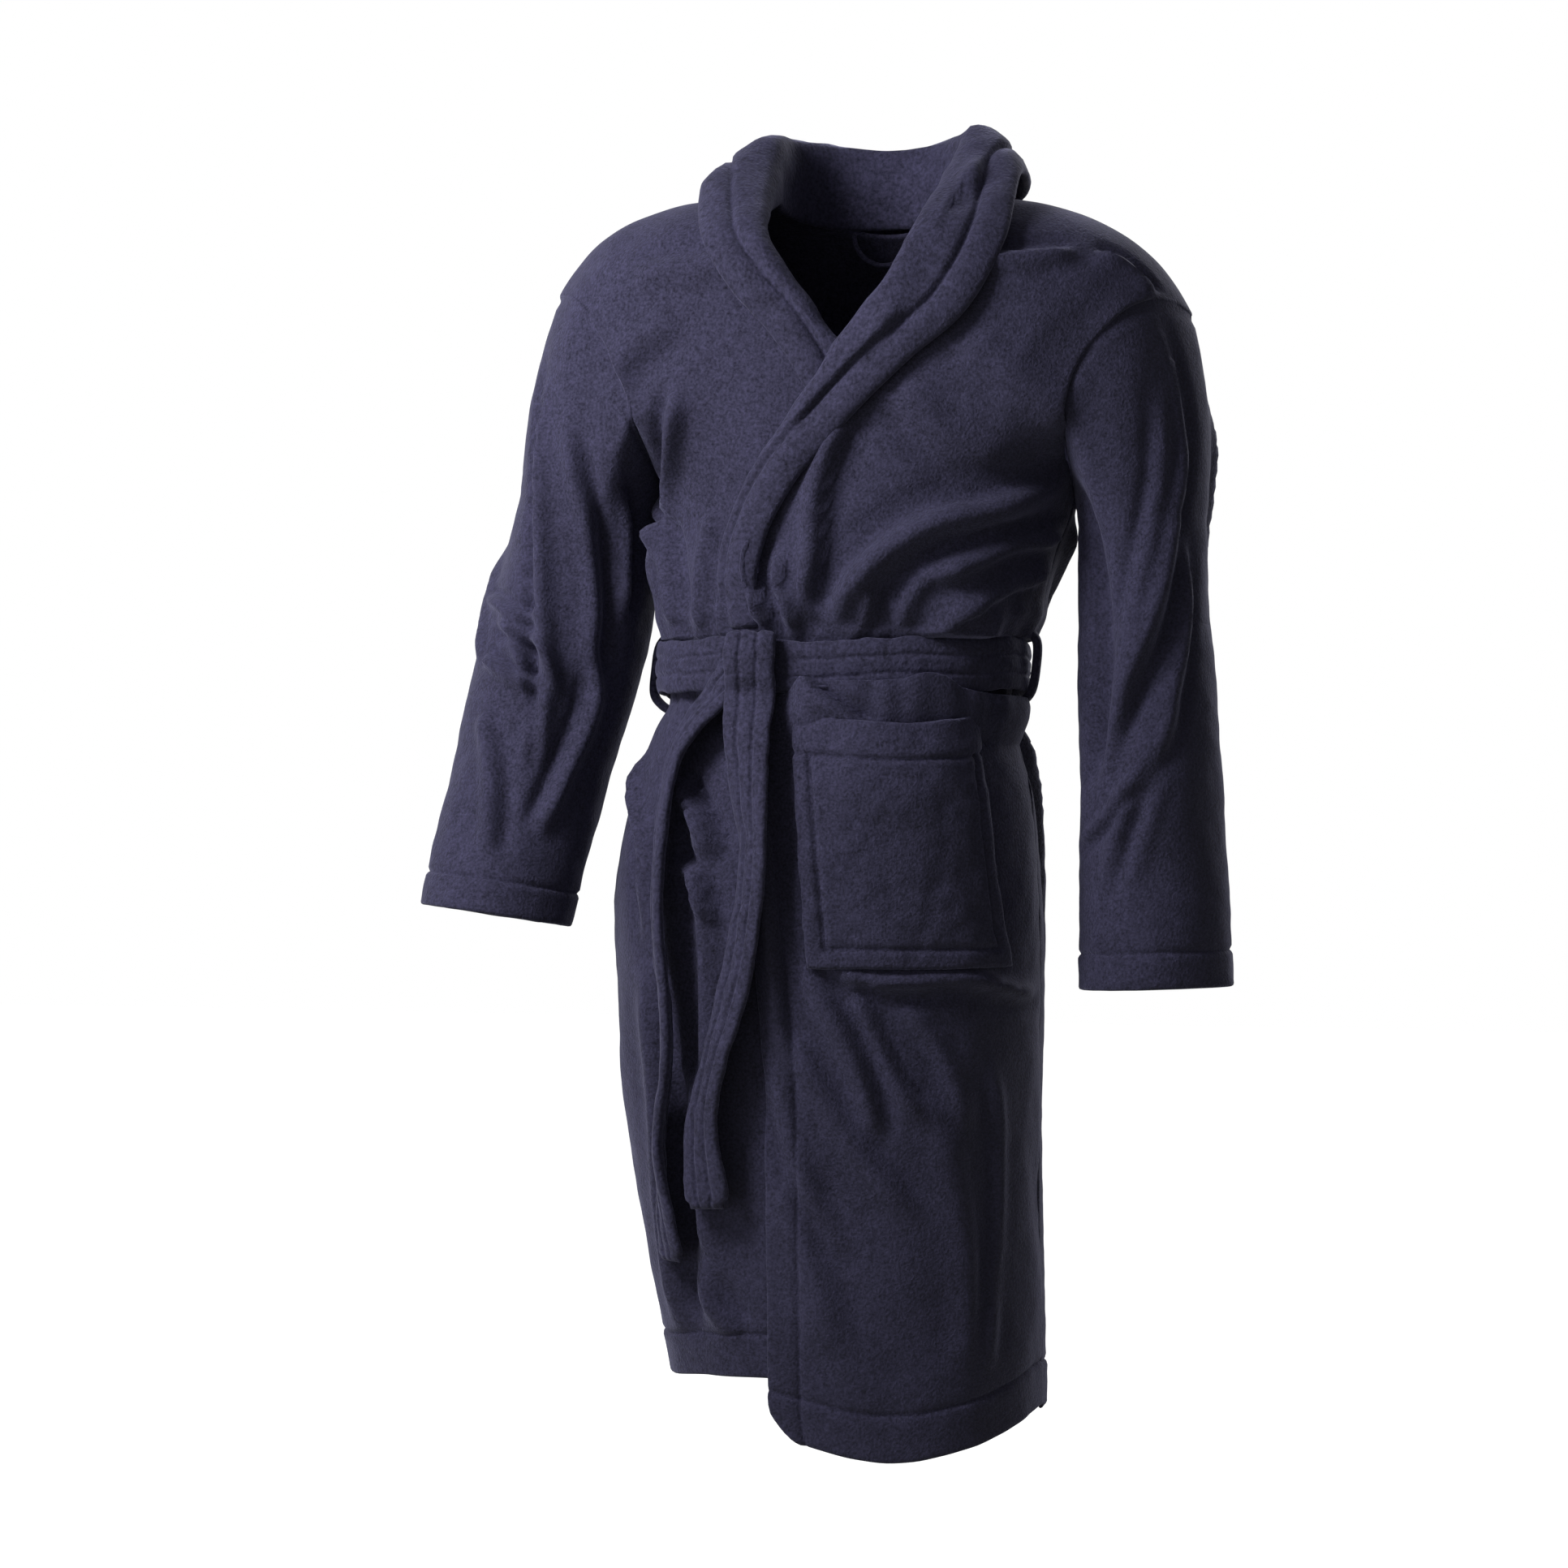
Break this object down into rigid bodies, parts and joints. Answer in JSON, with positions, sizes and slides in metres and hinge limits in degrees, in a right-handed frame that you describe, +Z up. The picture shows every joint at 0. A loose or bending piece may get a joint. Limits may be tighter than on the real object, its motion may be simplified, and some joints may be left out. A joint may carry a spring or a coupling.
{
  "type": "bathrobe",
  "caption": "Knee-length wrap-over bathrobe in navy plush fleece, with shawl collar, patch pocket and tied belt, filled out as if worn.",
  "frame": {"origin": "middle of the neck opening, level with the tops of the shoulders at the neck", "axes": "+X to the wearer's left, -Y out of the front, +Z up"},
  "size_m": [0.7504, 0.3226, 1.2208],
  "materials": {
    "fleece": "plush pile"
  },
  "bodies": {
    "robe": {"back_panel": "fleece", "left_front_panel": "fleece", "right_front_panel": "fleece", "left_collar": "fleece", "left_collar_band": "fleece", "right_collar": "fleece", "right_collar_band": "fleece", "collar_stand": "fleece", "patch_pocket": "fleece", "left_belt_loop": "fleece", "right_belt_loop": "fleece", "belt_waistband": "fleece", "belt_knot": "fleece"},
    "front_corner": {"left_front_corner": "fleece"},
    "hanger": {"hanger_loop": "fleece"},
    "short_tail": {"belt_short_tail": "fleece"},
    "long_tail": {"belt_long_tail": "fleece"},
    "left_upper_arm": {"left_upper_sleeve": "fleece"},
    "left_forearm": {"left_lower_sleeve": "fleece", "left_cuff": "fleece"},
    "right_upper_arm": {"right_upper_sleeve": "fleece"},
    "right_forearm": {"right_lower_sleeve": "fleece", "right_cuff": "fleece"}
  },
  "joints": [
    {"name": "left_shoulder_raise", "type": "hinge", "parent": "robe", "child": "left_upper_arm", "pos_m": [0.3023, 0, -0.1118], "axis": [0, -1, 0], "range_deg": [0, 50]},
    {"name": "left_elbow_bend", "type": "hinge", "parent": "left_upper_arm", "child": "left_forearm", "pos_m": [0.2619, -0.092, -0.4783], "axis": [-0.9987, -0.0025, -0.0512], "range_deg": [0, 85]},
    {"name": "right_shoulder_raise", "type": "hinge", "parent": "robe", "child": "right_upper_arm", "pos_m": [-0.3023, 0, -0.0828], "axis": [0, 1, 0], "range_deg": [0, 50]},
    {"name": "right_elbow_bend", "type": "hinge", "parent": "right_upper_arm", "child": "right_forearm", "pos_m": [-0.3039, -0.1088, -0.4691], "axis": [-0.9851, 0.0332, 0.1688], "range_deg": [0, 85]},
    {"name": "short_tail_swing", "type": "hinge", "parent": "robe", "child": "short_tail", "pos_m": [-0.08, -0.1617, -0.468], "axis": [-1, 0, 0], "range_deg": [0, 60]},
    {"name": "long_tail_swing", "type": "hinge", "parent": "robe", "child": "long_tail", "pos_m": [-0.121, -0.1372, -0.468], "axis": [-1, 0, 0], "range_deg": [0, 60]},
    {"name": "front_corner_swing", "type": "hinge", "parent": "robe", "child": "front_corner", "pos_m": [0.0214, -0.1567, -0.9512], "axis": [-0.3885, -0.0914, 0.9169], "range_deg": [0, 50]},
    {"name": "hanger_flip", "type": "hinge", "parent": "robe", "child": "hanger", "pos_m": [0, 0.0665, -0.022], "axis": [-1, 0, 0], "range_deg": [0, 165]}
  ]
}
